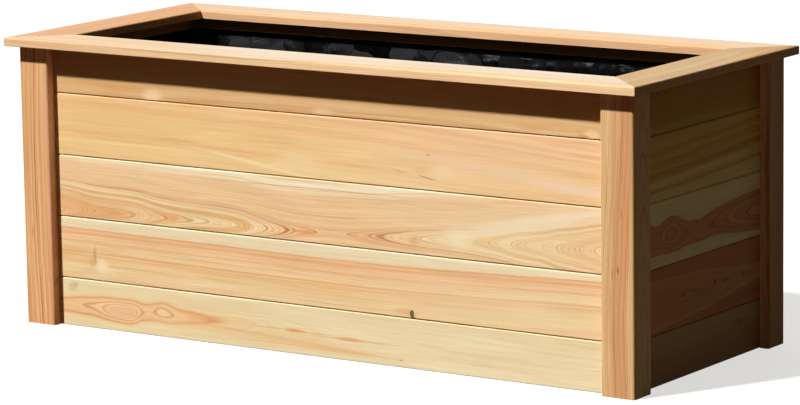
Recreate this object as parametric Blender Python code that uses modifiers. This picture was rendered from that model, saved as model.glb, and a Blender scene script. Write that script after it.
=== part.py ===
"""Lined wooden planter box on four corner posts, with a mitred top rim.

Metres, +Z up. The origin is on the ground under the middle of the box, +X runs along its
length and -Y is its front. Run with: blender --background --python part.py
"""

import math

import bmesh
import bpy

# Whole box
LENGTH = 1.000
WIDTH = 0.430
HEIGHT = 0.400
FIT_GAP = 0.0003  # between two pieces that touch

# Top rim: four flat boards, mitred at the corners
RIM_BOARD = 0.070
RIM_THICK = 0.012
RIM_END_OVERHANG = 0.0125
RIM_SIDE_OVERHANG = 0.0175
RIM_ROUNDING = 0.0022
RIM_LOWER_EASING = 0.0008

# Corner posts, rebated on their inner corner to take the wall boards
POST_WIDE = 0.048
POST_DEEP = 0.043
POST_ROUNDING = 0.0025
BOARD_RECESS = 0.0135

# Wall boards, tongued above and grooved below
BOARD_THICK = 0.019
BOARD_COVER = 0.0857
BOTTOM_COVER = 0.0665
GROUND_CLEARANCE = 0.0005
TONGUE_THICK = 0.006
TONGUE_HIGH = 0.005
TONGUE_PLAY = 0.0004
OPEN_JOINT = 0.0014
UPPER_EASING = 0.0012
LOWER_EASING = 0.0006

# Battens under the rim, which clamp the liner's edge
BATTEN_THICK = 0.007
BATTEN_HIGH = 0.015

# Slatted floor on two bearers
BEARER_WIDE = 0.022
BEARER_HIGH = 0.028
BEARER_BOTTOM = 0.012
SLATS = 10
SLAT_WIDE = 0.080
SLAT_THICK = 0.015
SLAT_END_GAP = 0.004
SAWN_EASING = 0.001

# Liner tub
LINER_THICK = 0.001

# Where those sizes put the faces
WALL_TOP = HEIGHT - RIM_THICK
POST_FACE_X = LENGTH / 2 - RIM_END_OVERHANG
POST_FACE_Y = WIDTH / 2 - RIM_SIDE_OVERHANG
BOARD_FACE_X = POST_FACE_X - BOARD_RECESS
BOARD_FACE_Y = POST_FACE_Y - BOARD_RECESS
INSIDE_X = BOARD_FACE_X - BOARD_THICK
INSIDE_Y = BOARD_FACE_Y - BOARD_THICK
LINER_X = INSIDE_X - FIT_GAP
LINER_Y = INSIDE_Y - FIT_GAP
BATTEN_X = LINER_X - LINER_THICK - FIT_GAP
BATTEN_Y = LINER_Y - LINER_THICK - FIT_GAP
SLAT_BOTTOM = BEARER_BOTTOM + BEARER_HIGH + FIT_GAP
LINER_BOTTOM = SLAT_BOTTOM + SLAT_THICK + FIT_GAP

ALONG_X, ALONG_Y, ALONG_Z = 0, 1, 2
WALLS = {"right": 0.0, "back": 90.0, "left": 180.0, "front": 270.0}  # degrees about Z

BOARD_COLOURS = {
    "front": ["#E9D3A3", "#E2B982", "#E5C390", "#E0B680", "#D8AC74"],
    "right": ["#CFA26B", "#D2A069", "#DDBE8E", "#D6AB75", "#CB9F69"],
    "back": ["#E1BD87", "#DDB47C", "#E5C796", "#DCB27A", "#D6AA72"],
    "left": ["#DCB47E", "#E2C08B", "#D9AC74", "#E0B985", "#D5A870"],
}
POST_COLOUR = "#DDAE7A"
RIM_COLOUR = "#E6C796"
BATTEN_COLOUR = "#C99A63"
FLOOR_COLOUR = "#D2B383"
LINER_COLOUR = "#131416"


def clear_scene():
    for leftover in list(bpy.data.objects):
        bpy.data.objects.remove(leftover, do_unlink=True)


def new_collection(name):
    collection = bpy.data.collections.new(name)
    bpy.context.scene.collection.children.link(collection)
    return collection


def linear(colour):
    """The linear red, green and blue of a display colour written as #RRGGBB."""
    channels = [int(colour[i : i + 2], 16) / 255 for i in (1, 3, 5)]
    return [c / 12.92 if c <= 0.04045 else ((c + 0.055) / 1.055) ** 2.4 for c in channels]


def finish(name, colour, roughness):
    """A Principled material that is not metallic."""
    material = bpy.data.materials.new(name)
    material.use_nodes = True
    shader = material.node_tree.nodes["Principled BSDF"]
    shader.inputs["Base Color"].default_value = (*linear(colour), 1.0)
    shader.inputs["Roughness"].default_value = roughness
    shader.inputs["Metallic"].default_value = 0.0
    material.diffuse_color = (*linear(colour), 1.0)
    return material


def place(name, data, collection, location=(0, 0, 0), material=None):
    piece = bpy.data.objects.new(name, data)
    piece.location = location
    if material:
        data.materials.append(material)
    collection.objects.link(piece)
    return piece


def bevel(shape, edges, rounding, segments):
    bmesh.ops.bevel(
        shape,
        geom=edges,
        offset=rounding,
        offset_type="OFFSET",
        segments=segments,
        profile=0.5,
        affect="EDGES",
    )


def bar(name, size, along, rounding, segments=3, lower_easing=None):
    """A mesh of a straight planed bar whose long edges, along one axis, are rounded.

    The lower two of a level bar can have a small easing of their own.
    """
    shape = bmesh.new()
    bmesh.ops.create_cube(shape, size=1.0)
    bmesh.ops.scale(shape, vec=size, verts=shape.verts)
    long_edges = [
        edge
        for edge in shape.edges
        if abs(edge.verts[0].co[along] - edge.verts[1].co[along]) > size[along] / 2
    ]
    if lower_easing:
        upper_edges = [edge for edge in long_edges if edge.verts[0].co.z > 0]
        lower_edges = [edge for edge in long_edges if edge.verts[0].co.z < 0]
        bevel(shape, lower_edges, lower_easing, 1)
        bevel(shape, upper_edges, rounding, segments)
    else:
        bevel(shape, long_edges, rounding, segments)
    mesh = bpy.data.meshes.new(name)
    shape.to_mesh(mesh)
    shape.free()
    mesh.shade_smooth()
    mesh.set_sharp_from_angle(angle=math.radians(40))
    return mesh


def cut(piece, cutter, operation="DIFFERENCE"):
    modifier = piece.modifiers.new(cutter.name, "BOOLEAN")
    modifier.operation = operation
    modifier.solver = "EXACT"
    modifier.object = cutter


def cutter_block(name, size, location, turn=0.0):
    """A plain box that only cuts other pieces, turned about Z."""
    shape = bmesh.new()
    bmesh.ops.create_cube(shape, size=1.0)
    bmesh.ops.scale(shape, vec=size, verts=shape.verts)
    mesh = bpy.data.meshes.new(name)
    shape.to_mesh(mesh)
    shape.free()
    block = place(name, mesh, cutters, location)
    block.rotation_euler.z = turn
    block.hide_render = True
    block.display_type = "WIRE"
    return block


def board_outline(cover, grooved, tongued):
    """Section of a wall board, x outwards and y up, with y = 0 at the joint below it."""
    face = BOARD_THICK / 2
    tongue = TONGUE_THICK / 2
    groove = tongue + TONGUE_PLAY
    if grooved:
        groove_top = FIT_GAP + TONGUE_HIGH + TONGUE_PLAY
        points = [
            (face, OPEN_JOINT + LOWER_EASING),
            (face - LOWER_EASING, OPEN_JOINT),
            (groove, OPEN_JOINT),
            (groove, groove_top),
            (-groove, groove_top),
            (-groove, FIT_GAP),
            (-face, FIT_GAP),
        ]
    else:
        points = [(face, LOWER_EASING), (face - LOWER_EASING, 0), (-face, 0)]
    points.append((-face, cover))
    if tongued:
        points += [
            (-tongue, cover),
            (-tongue, cover + TONGUE_HIGH),
            (tongue, cover + TONGUE_HIGH),
            (tongue, cover),
        ]
    points += [(face - UPPER_EASING, cover), (face, cover - UPPER_EASING)]
    return points


def extruded(name, outline, length):
    """A 2D curve of the outline, extruded to both sides and capped."""
    curve = bpy.data.curves.new(name, "CURVE")
    curve.dimensions = "2D"
    curve.fill_mode = "BOTH"
    curve.extrude = length / 2
    spline = curve.splines.new("POLY")
    spline.points.add(len(outline) - 1)
    for point, (x, y) in zip(spline.points, outline):
        point.co = (x, y, 0, 1)
    spline.use_cyclic_u = True
    return curve


def make_posts():
    """Four corner posts, each turned so that its rebate faces the inside of the box."""
    rebate = cutter_block(
        "board_space",
        (2 * (BOARD_FACE_X + FIT_GAP), 2 * (BOARD_FACE_Y + FIT_GAP), 2 * HEIGHT),
        (0, 0, HEIGHT / 2),
    )
    height = WALL_TOP - FIT_GAP
    material = finish("post_timber", POST_COLOUR, 0.62)
    for side_y, y_name in ((-1, "front"), (1, "back")):
        for side_x, x_name in ((-1, "left"), (1, "right")):
            name = f"post_{y_name}_{x_name}"
            mesh = bar(name, (POST_WIDE, POST_DEEP, height), ALONG_Z, POST_ROUNDING)
            x = side_x * (POST_FACE_X - POST_WIDE / 2)
            y = side_y * (POST_FACE_Y - POST_DEEP / 2)
            post = place(name, mesh, parts, (x, y, height / 2), material)
            cut(post, rebate)


def make_walls():
    """Each wall is five boards stacked between the posts, under an empty that faces outwards."""
    joints = [BOTTOM_COVER + course * BOARD_COVER for course in range(4)]
    edges = [GROUND_CLEARANCE, *joints, WALL_TOP - FIT_GAP]
    for wall, turn in WALLS.items():
        long_wall = wall in ("front", "back")
        face = BOARD_FACE_Y if long_wall else BOARD_FACE_X
        half_length = BOARD_FACE_X if long_wall else INSIDE_Y
        wall_frame = bpy.data.objects.new(f"{wall}_wall", None)
        wall_frame.rotation_euler.z = math.radians(turn)
        parts.objects.link(wall_frame)
        for course, (low, high) in enumerate(zip(edges, edges[1:])):
            name = f"{wall}_board_{course + 1}"
            outline = board_outline(high - low, grooved=course > 0, tongued=course < 4)
            curve = extruded(name, outline, 2 * (half_length - FIT_GAP))
            material = finish(name, BOARD_COLOURS[wall][course], 0.6)
            location = (face - BOARD_THICK / 2, 0, low)
            board = place(name, curve, parts, location, material)
            board.rotation_euler.x = math.radians(90)
            board.parent = wall_frame


def make_rim():
    """Four flat boards cut at 45 degrees by square blocks that stand on one corner."""
    corner = (LENGTH - WIDTH) / 2
    side = WIDTH * math.sqrt(2)
    block = (side, side, 4 * RIM_THICK)
    z = HEIGHT - RIM_THICK / 2
    material = finish("rim_timber", RIM_COLOUR, 0.58)
    mitres = {}
    for direction, x_name in ((-1, "left"), (1, "right")):
        for fit, gap in (("long", -FIT_GAP), ("short", FIT_GAP)):
            x = direction * (corner + gap / 2 + side / math.sqrt(2))
            name = f"mitre_{x_name}_{fit}"
            mitres[x_name, fit] = cutter_block(name, block, (x, 0, z), math.radians(45))
    for side_y, y_name in ((-1, "front"), (1, "back")):
        name = f"rim_{y_name}"
        size = (LENGTH, RIM_BOARD, RIM_THICK)
        mesh = bar(name, size, ALONG_X, RIM_ROUNDING, lower_easing=RIM_LOWER_EASING)
        board = place(name, mesh, parts, (0, side_y * (WIDTH - RIM_BOARD) / 2, z), material)
        cut(board, mitres["left", "long"])
        cut(board, mitres["right", "long"])
    for side_x, x_name in ((-1, "left"), (1, "right")):
        name = f"rim_{x_name}"
        size = (RIM_BOARD, WIDTH, RIM_THICK)
        mesh = bar(name, size, ALONG_Y, RIM_ROUNDING, lower_easing=RIM_LOWER_EASING)
        board = place(name, mesh, parts, (side_x * (LENGTH - RIM_BOARD) / 2, 0, z), material)
        cut(board, mitres[x_name, "short"], "INTERSECT")


def make_battens():
    """Long battens run the whole length inside and the short ones stand between them."""
    z = WALL_TOP - FIT_GAP - BATTEN_HIGH / 2
    material = finish("batten_timber", BATTEN_COLOUR, 0.7)
    short_half = BATTEN_Y - BATTEN_THICK - FIT_GAP
    for side_y, y_name in ((-1, "front"), (1, "back")):
        name = f"rim_batten_{y_name}"
        size = (2 * BATTEN_X, BATTEN_THICK, BATTEN_HIGH)
        mesh = bar(name, size, ALONG_X, SAWN_EASING, 1)
        place(name, mesh, parts, (0, side_y * (BATTEN_Y - BATTEN_THICK / 2), z), material)
    for side_x, x_name in ((-1, "left"), (1, "right")):
        name = f"rim_batten_{x_name}"
        size = (BATTEN_THICK, 2 * short_half, BATTEN_HIGH)
        mesh = bar(name, size, ALONG_Y, SAWN_EASING, 1)
        place(name, mesh, parts, (side_x * (BATTEN_X - BATTEN_THICK / 2), 0, z), material)


def make_floor():
    """Two bearers along the long walls carry slats laid across with gaps for drainage."""
    material = finish("floor_timber", FLOOR_COLOUR, 0.75)
    bearer_z = BEARER_BOTTOM + BEARER_HIGH / 2
    for side_y, y_name in ((-1, "front"), (1, "back")):
        name = f"floor_bearer_{y_name}"
        size = (2 * LINER_X, BEARER_WIDE, BEARER_HIGH)
        mesh = bar(name, size, ALONG_X, SAWN_EASING, 1)
        y = side_y * (LINER_Y - BEARER_WIDE / 2)
        place(name, mesh, parts, (0, y, bearer_z), material)
    first = -INSIDE_X + SLAT_END_GAP + SLAT_WIDE / 2
    pitch = -2 * first / (SLATS - 1)
    for number in range(SLATS):
        name = f"floor_slat_{number + 1}"
        mesh = bar(name, (SLAT_WIDE, 2 * LINER_Y, SLAT_THICK), ALONG_Y, SAWN_EASING, 1)
        location = (first + number * pitch, 0, SLAT_BOTTOM + SLAT_THICK / 2)
        place(name, mesh, parts, location, material)


def make_liner():
    """A tub of foil on the floor, its open edge held between the battens and the walls."""
    height = WALL_TOP - FIT_GAP - LINER_BOTTOM
    shape = bmesh.new()
    bmesh.ops.create_cube(shape, size=1.0)
    bmesh.ops.scale(shape, vec=(2 * LINER_X, 2 * LINER_Y, height), verts=shape.verts)
    top = [face for face in shape.faces if face.normal.z > 0.5]
    bmesh.ops.delete(shape, geom=top, context="FACES_ONLY")
    mesh = bpy.data.meshes.new("foil_liner")
    shape.to_mesh(mesh)
    shape.free()
    material = finish("liner_foil", LINER_COLOUR, 0.35)
    liner = place("foil_liner", mesh, parts, (0, 0, LINER_BOTTOM + height / 2), material)
    shell = liner.modifiers.new("foil", "SOLIDIFY")
    shell.thickness = LINER_THICK
    shell.offset = -1.0
    shell.use_even_offset = True


clear_scene()
parts = new_collection("lined_planter_box")
cutters = new_collection("cutters")
make_posts()
make_walls()
make_rim()
make_battens()
make_floor()
make_liner()
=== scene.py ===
import math
import random

import bmesh
import bpy
from mathutils import Matrix, Quaternion, Vector, noise


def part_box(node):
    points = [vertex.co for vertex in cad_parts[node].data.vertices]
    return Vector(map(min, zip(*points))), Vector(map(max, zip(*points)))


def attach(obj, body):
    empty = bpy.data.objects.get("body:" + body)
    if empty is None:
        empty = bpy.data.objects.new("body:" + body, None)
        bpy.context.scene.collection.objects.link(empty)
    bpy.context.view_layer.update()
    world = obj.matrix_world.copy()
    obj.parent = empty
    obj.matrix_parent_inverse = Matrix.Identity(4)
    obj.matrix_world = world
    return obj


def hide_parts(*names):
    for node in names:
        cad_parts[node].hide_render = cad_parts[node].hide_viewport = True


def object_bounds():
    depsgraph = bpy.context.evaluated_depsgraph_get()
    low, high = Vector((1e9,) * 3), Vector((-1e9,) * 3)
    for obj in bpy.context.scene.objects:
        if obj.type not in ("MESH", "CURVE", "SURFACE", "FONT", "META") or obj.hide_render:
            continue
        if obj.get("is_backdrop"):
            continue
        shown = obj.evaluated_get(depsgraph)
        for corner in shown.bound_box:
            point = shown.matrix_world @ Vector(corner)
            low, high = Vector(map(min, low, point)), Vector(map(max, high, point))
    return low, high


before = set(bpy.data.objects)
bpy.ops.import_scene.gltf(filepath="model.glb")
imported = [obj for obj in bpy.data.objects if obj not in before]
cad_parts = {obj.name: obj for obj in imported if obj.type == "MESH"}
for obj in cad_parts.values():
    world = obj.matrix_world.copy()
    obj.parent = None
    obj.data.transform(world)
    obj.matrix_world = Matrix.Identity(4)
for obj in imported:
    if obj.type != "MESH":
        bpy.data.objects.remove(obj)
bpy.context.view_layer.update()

scene = bpy.context.scene


# ----------------------------------------
# The view: a long lens that looks down a little on the front right corner, about five
# lengths of the box away.
def placed(name, data):
    """A new object with its data, in the scene."""
    made = bpy.data.objects.new(name, data)
    scene.collection.objects.link(made)
    return made


camera = placed("camera", bpy.data.cameras.new("camera"))
camera.data.sensor_width = 36
camera.data.lens = 176.9
camera.location = (2.9258, -4.3526, 1.1068)
camera_aim = Vector((0.0058, 0.0, 0.1802))
camera_roll = math.radians(-0.86)
look = (camera_aim - camera.location).to_track_quat("-Z", "Y")
camera.rotation_euler = (look @ Quaternion((0, 0, 1), camera_roll)).to_euler()
scene.camera = camera
scene.view_settings.view_transform = "Standard"

# ----------------------------------------
# Studio: one soft key light from the upper front left, a pale surround that fills
# the shade and is brighter behind the box, and a plain pale floor.
KEY_WAY = Vector((0.296, 0.566, -0.770))
FILL = 0.038
FILL_TINT = (1.0, 0.89, 0.49, 1.0)
BACK_FILL = 0.9
BACK_TINT = (1.0, 0.97, 0.93, 1.0)
BEHIND_THE_BOX = (-0.45, 0.87, 0.20)
FLOOR_SIZE = 60
FLOOR_SHEEN = 0.1
FLOOR_GLOW = 0.66

key = placed("key_light", bpy.data.lights.new("key_light", "SUN"))
key.data.energy = 5.2
key.data.angle = math.radians(3.0)
key.rotation_euler = KEY_WAY.to_track_quat("-Z", "Y").to_euler()


def feed(socket, source):
    """Joins a source socket to a socket, or writes a plain value on it."""
    if isinstance(source, bpy.types.NodeSocket):
        socket.id_data.links.new(source, socket)
    else:
        socket.default_value = source


def named(node, **sources):
    """Feeds a node's sockets by name; an underscore stands for a space."""
    sockets = {socket.name.lower(): socket for socket in node.inputs}
    for label, source in sources.items():
        feed(sockets[label.replace("_", " ")], source)
    return node


def add(tree, kind, *sources, **settings):
    """A new node with its settings made and its first sockets fed in their order."""
    made = tree.nodes.new(kind)
    for setting, value in settings.items():
        setattr(made, setting, value)
    for socket, source in zip(made.inputs, sources):
        feed(socket, source)
    return made


def tree_of(*sources):
    """The node tree that the first socket among some sources belongs to."""
    return next(source.id_data for source in sources if isinstance(source, bpy.types.NodeSocket))


def maths(operation, *sources):
    """The result of a Math node."""
    return add(tree_of(*sources), "ShaderNodeMath", *sources, operation=operation).outputs[0]


def plus(*sources):
    return maths("ADD", *sources)


def minus(*sources):
    return maths("SUBTRACT", *sources)


def times(*sources):
    return maths("MULTIPLY", *sources)


def vectors(operation, *sources):
    """The result of a Vector Math node, which is a plain value for a dot product."""
    made = add(tree_of(*sources), "ShaderNodeVectorMath", *sources, operation=operation)
    return made.outputs["Value" if operation == "DOT_PRODUCT" else "Vector"]


def blend(factor, below, above, how="MIX"):
    """The result of a colour Mix node."""
    made = add(tree_of(factor, below, above), "ShaderNodeMix", factor, data_type="RGBA", blend_type=how)
    feed(made.inputs[6], below)
    feed(made.inputs[7], above)
    return made.outputs[2]


def linear(colour, alpha=1.0):
    """A display colour written as #RRGGBB, as the values that a socket takes."""
    channels = [int(colour[i : i + 2], 16) / 255 for i in (1, 3, 5)]
    return [c / 12.92 if c <= 0.04045 else ((c + 0.055) / 1.055) ** 2.4 for c in channels] + [alpha]


def ranged(source, low, high, to_low=0.0, to_high=1.0, how="SMOOTHSTEP"):
    """A source brought from one range to another, and held there."""
    ends = low, high, to_low, to_high
    return add(tree_of(source), "ShaderNodeMapRange", source, *ends, interpolation_type=how).outputs[0]


def seen(tree):
    """1 for what the camera sees, straight or in a gloss or through glass, and 0 for light."""
    path = add(tree, "ShaderNodeLightPath").outputs
    straight = maths("MAXIMUM", path["Is Camera Ray"], path["Is Glossy Ray"])
    return maths("MAXIMUM", straight, path["Is Transmission Ray"])


def new_material(name):
    """A material, its node tree and its shader."""
    made = bpy.data.materials.new(name)
    made.use_nodes = True
    return made, made.node_tree, made.node_tree.nodes["Principled BSDF"]


world = bpy.data.worlds.new("surround")
world.use_nodes = True
scene.world = world
tree = world.node_tree
tree.nodes.clear()
direction = add(tree, "ShaderNodeTexCoord").outputs["Generated"]
rear = ranged(vectors("DOT_PRODUCT", direction, BEHIND_THE_BOX), 0.5, 1.0)
fill_tint = blend(rear, FILL_TINT, BACK_TINT)
fill = add(tree, "ShaderNodeBackground", fill_tint, maths("MULTIPLY_ADD", rear, BACK_FILL, FILL))
backdrop = add(tree, "ShaderNodeBackground")
pick = add(tree, "ShaderNodeMixShader", seen(tree), fill.outputs[0], backdrop.outputs[0])
add(tree, "ShaderNodeOutputWorld", pick.outputs[0])

bpy.ops.mesh.primitive_plane_add(size=FLOOR_SIZE)
floor = bpy.context.object
floor.name = "studio_floor"
paper, tree, shader = new_material("floor_paper")
to_eye = seen(tree)
named(shader, base_color=blend(to_eye, linear("#38261A"), linear("#A3A29F")), roughness=0.9,
      emission_color=linear("#FFFEFC"), emission_strength=times(to_eye, FLOOR_GLOW),
      specular_ior_level=FLOOR_SHEEN)
floor.data.materials.append(paper)
floor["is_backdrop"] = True


# ----------------------------------------
# Corner posts: planed larch, 48 x 43 mm. Each is cut from a different
# place in the tree, so the lines on its faces run close or wide.
def new_group(name, takes, gives):
    """An empty node group, what it takes, and what it gives. A thing taken that starts at one
    number is a value, at three a vector and at four a colour."""
    group = bpy.data.node_groups.new(name, "ShaderNodeTree")
    for label, start in takes.items():
        kind = {3: "Vector", 4: "Color"}[len(start)] if isinstance(start, tuple) else "Float"
        socket = group.interface.new_socket(label, in_out="INPUT", socket_type="NodeSocket" + kind)
        socket.default_value = start
    for label in gives:
        kind = "Color" if label == "Colour" else "Float"
        group.interface.new_socket(label, in_out="OUTPUT", socket_type="NodeSocket" + kind)
    taken_in = add(group, "NodeGroupInput").outputs[: len(takes)]
    return group, taken_in, add(group, "NodeGroupOutput").inputs


def place(tree, group, **sources):
    """What a node group gives in a tree, when it is fed by name."""
    return named(add(tree, "ShaderNodeGroup", node_tree=group), **sources).outputs


def stretched(measures, sizes, seed):
    """Three measures as one vector, each divided by a size, moved by a seed."""
    shares = [measure / size if isinstance(measure, float) else maths("DIVIDE", measure, size)
              for measure, size in zip(measures, sizes)]
    return vectors("ADD", add(tree_of(*shares), "ShaderNodeCombineXYZ", *shares).outputs[0], seed)


def cloud(vector, detail, roughness=0.5):
    """Smooth noise from 0 to 1."""
    made = add(tree_of(vector), "ShaderNodeTexNoise")
    return named(made, vector=vector, scale=1.0, detail=detail, roughness=roughness).outputs["Fac"]


# Where a point lies in a length of timber: millimetres along the grain, across the
# face, and into the wood from that face.
in_timber, given, out = new_group(
    "in_timber", {"Origin": (0, 0, 0), "Grain": (1, 0, 0), "Sideways": (0, 0, 1)},
    ["Along", "Across", "Depth", "End Grain"],
)
origin, grain, sideways = given
spot = add(in_timber, "ShaderNodeTexCoord").outputs
offset = vectors("SUBTRACT", spot["Object"], origin)
inward = vectors("CROSS_PRODUCT", sideways, grain)
for label, axis in (("Along", grain), ("Across", sideways), ("Depth", inward)):
    feed(out[label], times(vectors("DOT_PRODUCT", offset, axis), 1000.0))
facing = maths("ABSOLUTE", vectors("DOT_PRODUCT", spot["Normal"], grain))
feed(out["End Grain"], ranged(facing, 0.75, 0.95))

# Growth rings round a pith that runs beside the face. Stretch below 1 flattens the rings,
# Point draws them out to tips, Round is how blunt those are, and Reach is how far from the
# pith the lines fade. It gives how far out a point lies, the dark late wood that ends each
# year's ring, a tone from ring to ring, and blushes that follow the rings.
growth_rings, given, out = new_group(
    "growth_rings",
    {"Along": 0, "Across": 0, "Depth": 0, "Pith Across": 0, "Pith Depth": 40, "Ring Width": 2.6,
     "Wander": 1, "Swell": 0, "Stretch": 1, "Point": 0, "Round": 8, "Reach": 1000, "Uneven": 1.5,
     "Late From": 0.55, "Seed": 0},
    ["Radius", "Late Wood", "Ring Tone", "Blush"],
)
(along, across, depth, pith_across, pith_depth, ring_width, wandering, swell, stretch, point, roundness,
 reach, uneven, late_from, seed) = given
SLOW_WANDER, QUICK_WANDER = 5.0, 1.8
LATE_UNTIL = 0.92
FADE_OVER, FADED = 1.7, 0.25
FAINTEST = 0.35
YEAR_SHARE, DECADE_SHARE = 0.3, 0.7
here = along, across, depth
slow = cloud(stretched(here, (110, 34, 34), seed), 2.5)
quick = cloud(stretched(here, (26, 7, 7), seed), 2)
wander = plus(times(minus(slow, 0.5), SLOW_WANDER), times(minus(quick, 0.5), QUICK_WANDER))
sideways = minus(across, pith_across)
sideways = times(sideways, sideways)
inwards = minus(depth, pith_depth)
inwards = times(inwards, inwards)
radius = maths("SQRT", plus(times(sideways, stretch), inwards))
blunt = maths("SQRT", plus(sideways, times(roundness, roundness)))
tip = minus(blunt, roundness)
radius = plus(radius, times(tip, point))
radius = plus(radius, times(wander, wandering))
radius = plus(radius, swell)
feed(out["Radius"], radius)


def over_years(years, often, detail):
    """Smooth noise that changes over the years, from 0 to 1."""
    made = add(growth_rings, "ShaderNodeTexNoise", noise_dimensions="1D")
    return named(made, w=plus(times(years, often), seed), detail=detail).outputs["Fac"]


years = maths("DIVIDE", radius, ring_width)
years = plus(years, times(over_years(years, 0.35, 1.0), uneven))
season = maths("FRACT", years)
late = times(ranged(season, late_from, LATE_UNTIL), ranged(season, LATE_UNTIL, 1.0, 1.0, 0.0))
from_pith = maths("SQRT", sideways)
faded_at = times(reach, FADE_OVER)
late = times(late, ranged(from_pith, reach, faded_at, 1.0, FADED))
year_tone = add(growth_rings, "ShaderNodeTexWhiteNoise", noise_dimensions="1D")
year_tone = named(year_tone, w=plus(maths("FLOOR", years), seed)).outputs["Value"]
faint = cloud(stretched((along, radius, 0.0), (120, 7, 7), seed), 2)
late = times(late, ranged(year_tone, 0.0, 1.0, FAINTEST, 1.0, "LINEAR"))
feed(out["Late Wood"], times(late, ranged(faint, 0.3, 0.6, FAINTEST, 1.0)))
decade_tone = ranged(over_years(years, 0.3, 2.0), 0.3, 0.7)
feed(out["Ring Tone"], plus(times(year_tone, YEAR_SHARE), times(decade_tone, DECADE_SHARE)))
blush = stretched((along, radius, 3.3), (150, 4.5, 5), seed)
feed(out["Blush"], ranged(cloud(blush, 2.5, 0.55), 0.42, 0.72))

# The planed face: fine fibres and resin ducts that run with the grain, a slow drift of
# colour, reddish blushes, dark thirsty end grain, and rounded edges made paler as a painted highlight.
planed_face, given, out = new_group(
    "planed_face",
    {"Along": 0, "Across": 0, "Depth": 0, "End Grain": 0, "Late Wood": 0, "Ring Tone": 0.5, "Blush": 0,
     "Colour": (0.8, 0.6, 0.4, 1), "Line Colour": (0.6, 0.35, 0.15, 1),
     "Blush Colour": (0.8, 0.45, 0.2, 1), "Blushed": 0.25, "Lines": 0.4, "Tones": 0.15, "Fibres": 0.12,
     "Seed": 0},
    ["Colour", "Roughness", "Height"],
)
(along, across, depth, end_grain, late_wood, ring_tone, blush, own_colour, line_colour, blush_colour,
 blushed, lines, tones, fibres, seed) = given
EDGE_ROUND = 0.0015
EDGE_HIGHLIGHT = 0.25
DRIFT, DUCT_DARK, END_DARK = 0.08, 0.10, 0.3
WARMTH = (0.75, 1.0, 1.4)
PLANED_ROUGH, FIBRE_ROUGH, LATE_SMOOTH, END_ROUGH = 0.56, 0.16, 0.08, 0.25
LATE_RAISED, DUCT_DEPTH = 0.5, 0.6


def in_grain(lengthways, crossways, detail, roughness=0.5):
    """Noise drawn out along the grain of the planed face."""
    spots = stretched((along, across, depth), (lengthways, crossways, crossways), seed)
    return cloud(spots, detail, roughness)


fibre = in_grain(45, 0.9, 4, 0.6)
streak = in_grain(110, 2.4, 2)
drift = in_grain(160, 22, 3, 0.55)
ducts = ranged(in_grain(7, 0.35, 1), 0.70, 0.78)
# Painted highlight: where the Bevel node finds a rounded edge, the colour is made paler as though light
# caught it.
edge = add(planed_face, "ShaderNodeBevel", EDGE_ROUND, samples=4).outputs[0]
face_way = add(planed_face, "ShaderNodeNewGeometry").outputs["True Normal"]
painted_edge_highlight = ranged(vectors("DOT_PRODUCT", edge, face_way), 0.97, 0.80)
colour = blend(times(blush, blushed), own_colour, blush_colour)
colour = blend(times(late_wood, lines), colour, line_colour)


def shaded(tone, source, amount):
    """A tone made lighter or darker as a source lies above or below its middle."""
    return times(tone, plus(times(minus(source, 0.5), amount), 1.0))


def dimmed(tone, source, amount):
    """A tone made darker by a share of a source."""
    return times(tone, minus(1.0, times(source, amount)))


tone = shaded(1.0, ring_tone, times(tones, -1.0))
tone = shaded(tone, fibre, fibres)
tone = shaded(tone, streak, times(fibres, 1.3))
tone = shaded(tone, ranged(drift, 0.3, 0.7), DRIFT)
tone = dimmed(tone, ducts, DUCT_DARK)
tone = dimmed(tone, end_grain, END_DARK)
tints = [maths("POWER", tone, power) for power in WARMTH]
warm = add(planed_face, "ShaderNodeCombineColor", *tints).outputs[0]
colour = blend(1.0, colour, warm, "MULTIPLY")
feed(out["Colour"], blend(times(painted_edge_highlight, EDGE_HIGHLIGHT), colour, linear("#F3DDB8")))
rough = plus(PLANED_ROUGH, times(minus(fibre, 0.5), FIBRE_ROUGH))
rough = minus(rough, times(late_wood, LATE_SMOOTH))
feed(out["Roughness"], plus(rough, times(end_grain, END_ROUGH)))
height = plus(times(late_wood, LATE_RAISED), fibre)
feed(out["Height"], minus(height, times(ducts, DUCT_DEPTH)))

# A streak, fleck or knot on a face: a soft long mask, with an edge that wavers.
face_mark, given, out = new_group(
    "face_mark",
    {"Along": 0, "Across": 0, "Middle Along": 0, "Middle Across": 0, "Half Length": 20, "Half Width": 3,
     "Slope": 0, "Softness": 0.5},
    ["Mask", "Nearness"],
)
along, across, middle_along, middle_across, half_length, half_width, slope, softness = given
RAGGED = 0.7
away = minus(along, middle_along)
aside = minus(minus(across, middle_across), times(away, slope))
ragged = cloud(stretched((away, aside, 0.0), (30, 5, 5), (3.1, 3.1, 3.1)), 3)
shares = [maths("POWER", maths("ABSOLUTE", maths("DIVIDE", part, whole)), 2.0)
          for part, whole in ((away, half_length), (aside, half_width))]
reach = maths("SQRT", plus(*shares))
reach = plus(reach, times(minus(ragged, 0.5), RAGGED))
feed(out["Mask"], ranged(reach, plus(1.0, softness), minus(1.0, softness)))
feed(out["Nearness"], maths("EXPONENT", times(times(reach, reach), -1.0)))


def along_curve(along, half, points):
    """A value in millimetres that changes smoothly along the timber."""
    made = add(tree_of(along), "ShaderNodeFloatCurve")
    mapping = made.mapping
    mapping.clip_min_y = -4.0
    mapping.clip_max_y = 4.0
    curve = mapping.curves[0]
    for number, (x, y) in enumerate(points):
        at = (x / half + 1) / 2
        if number < 2:
            curve.points[number].location = (at, y / 100)
        else:
            curve.points.new(at, y / 100)
    mapping.update()
    feed(made.inputs["Value"], ranged(along, -half, half, how="LINEAR"))
    return times(made.outputs[0], 100.0)


def mark(along, across, long, wide, colour, strength, slope=0.0, soft=0.5, bulge=0.0):
    """A fleck, streak or knot: its middle, full length and width in millimetres, its colour
    and strength, and how far the rings swell round it."""
    return along, across, long / 2, wide / 2, colour, strength, slope, soft, bulge


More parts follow.
